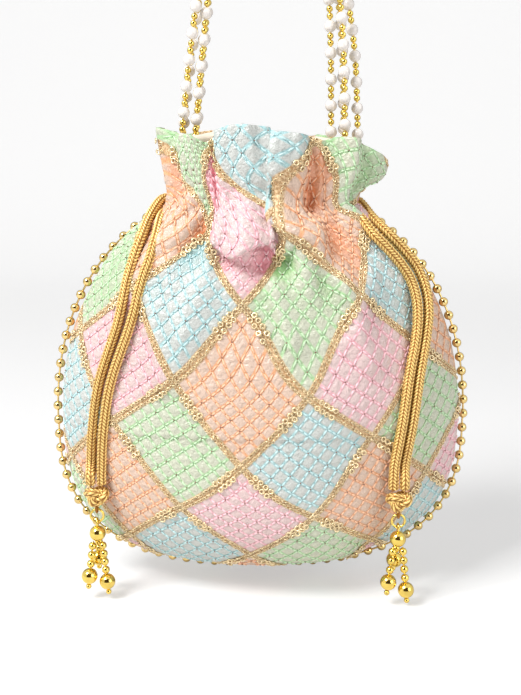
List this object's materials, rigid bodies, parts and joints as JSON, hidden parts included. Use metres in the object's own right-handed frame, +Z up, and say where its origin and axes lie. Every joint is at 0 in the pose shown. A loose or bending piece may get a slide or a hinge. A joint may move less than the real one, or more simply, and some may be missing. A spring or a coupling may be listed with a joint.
{
  "type": "potli bag",
  "caption": "Gathered drawstring pouch with a ruffled mouth, beaded rim, two tasselled drawcords and a handle of pearl strands.",
  "frame": {"origin": "top of the handle, where the bag hangs", "axes": "+Z up, the front faces -Y, the side seams lie along X"},
  "size_m": [0.2118, 0.0892, 0.3416],
  "materials": {
    "embroidered_cloth": "satin cloth embroidered with a lattice of pastel thread in diamond fields, gold sequin trim between them",
    "lining_satin": "plain cream satin",
    "rim_beads": "champagne gold plated beads on thread",
    "gold_cord": "braided gold cord",
    "gold_beads": "bright gold plated beads",
    "link_wire": "polished gold wire",
    "pearls": "imitation pearls with small gold beads between",
    "handle_binding": "cream cloth and thread"
  },
  "bodies": {
    "handle": {"pearl_strand_1": "pearls", "pearl_strand_2": "pearls", "pearl_strand_3": "pearls", "pearl_strand_4": "pearls", "left_handle_end": "handle_binding", "right_handle_end": "handle_binding"},
    "bag": {"front_panel": "embroidered_cloth", "back_panel": "embroidered_cloth", "lining": "lining_satin", "rim_beads": "rim_beads", "left_cord_outer": "gold_cord", "left_cord_inner": "gold_cord", "left_knot": "gold_cord", "left_cord_in_casing": "gold_cord", "right_cord_outer": "gold_cord", "right_cord_inner": "gold_cord", "right_knot": "gold_cord", "right_cord_in_casing": "gold_cord", "left_stay": "handle_binding", "right_stay": "handle_binding"},
    "left_link": {"left_link": "link_wire"},
    "left_tassel": {"left_tassel_top": "gold_beads", "left_bead_string_1": "gold_beads", "left_bead_string_2": "gold_beads", "left_bead_string_3": "gold_beads"},
    "right_link": {"right_link": "link_wire"},
    "right_tassel": {"right_tassel_top": "gold_beads", "right_bead_string_1": "gold_beads", "right_bead_string_2": "gold_beads", "right_bead_string_3": "gold_beads"}
  },
  "joints": [
    {"name": "bag_swing", "type": "hinge", "parent": "handle", "child": "bag", "pos_m": [0, 0, -0.132], "axis": [1, 0, 0], "range_deg": [-12, 12]},
    {"name": "left_link_swing", "type": "hinge", "parent": "bag", "child": "left_link", "pos_m": [-0.081, -0.02623, -0.29685], "axis": [1, 0, 0], "range_deg": [-60, 12]},
    {"name": "left_tassel_swing", "type": "hinge", "parent": "left_link", "child": "left_tassel", "pos_m": [-0.081, -0.02623, -0.30325], "axis": [0, 1, 0], "range_deg": [-28, 28]},
    {"name": "right_link_swing", "type": "hinge", "parent": "bag", "child": "right_link", "pos_m": [0.06726, -0.03396, -0.29685], "axis": [1, 0, 0], "range_deg": [-60, 12]},
    {"name": "right_tassel_swing", "type": "hinge", "parent": "right_link", "child": "right_tassel", "pos_m": [0.06726, -0.03396, -0.30325], "axis": [0, 1, 0], "range_deg": [-28, 28]}
  ]
}
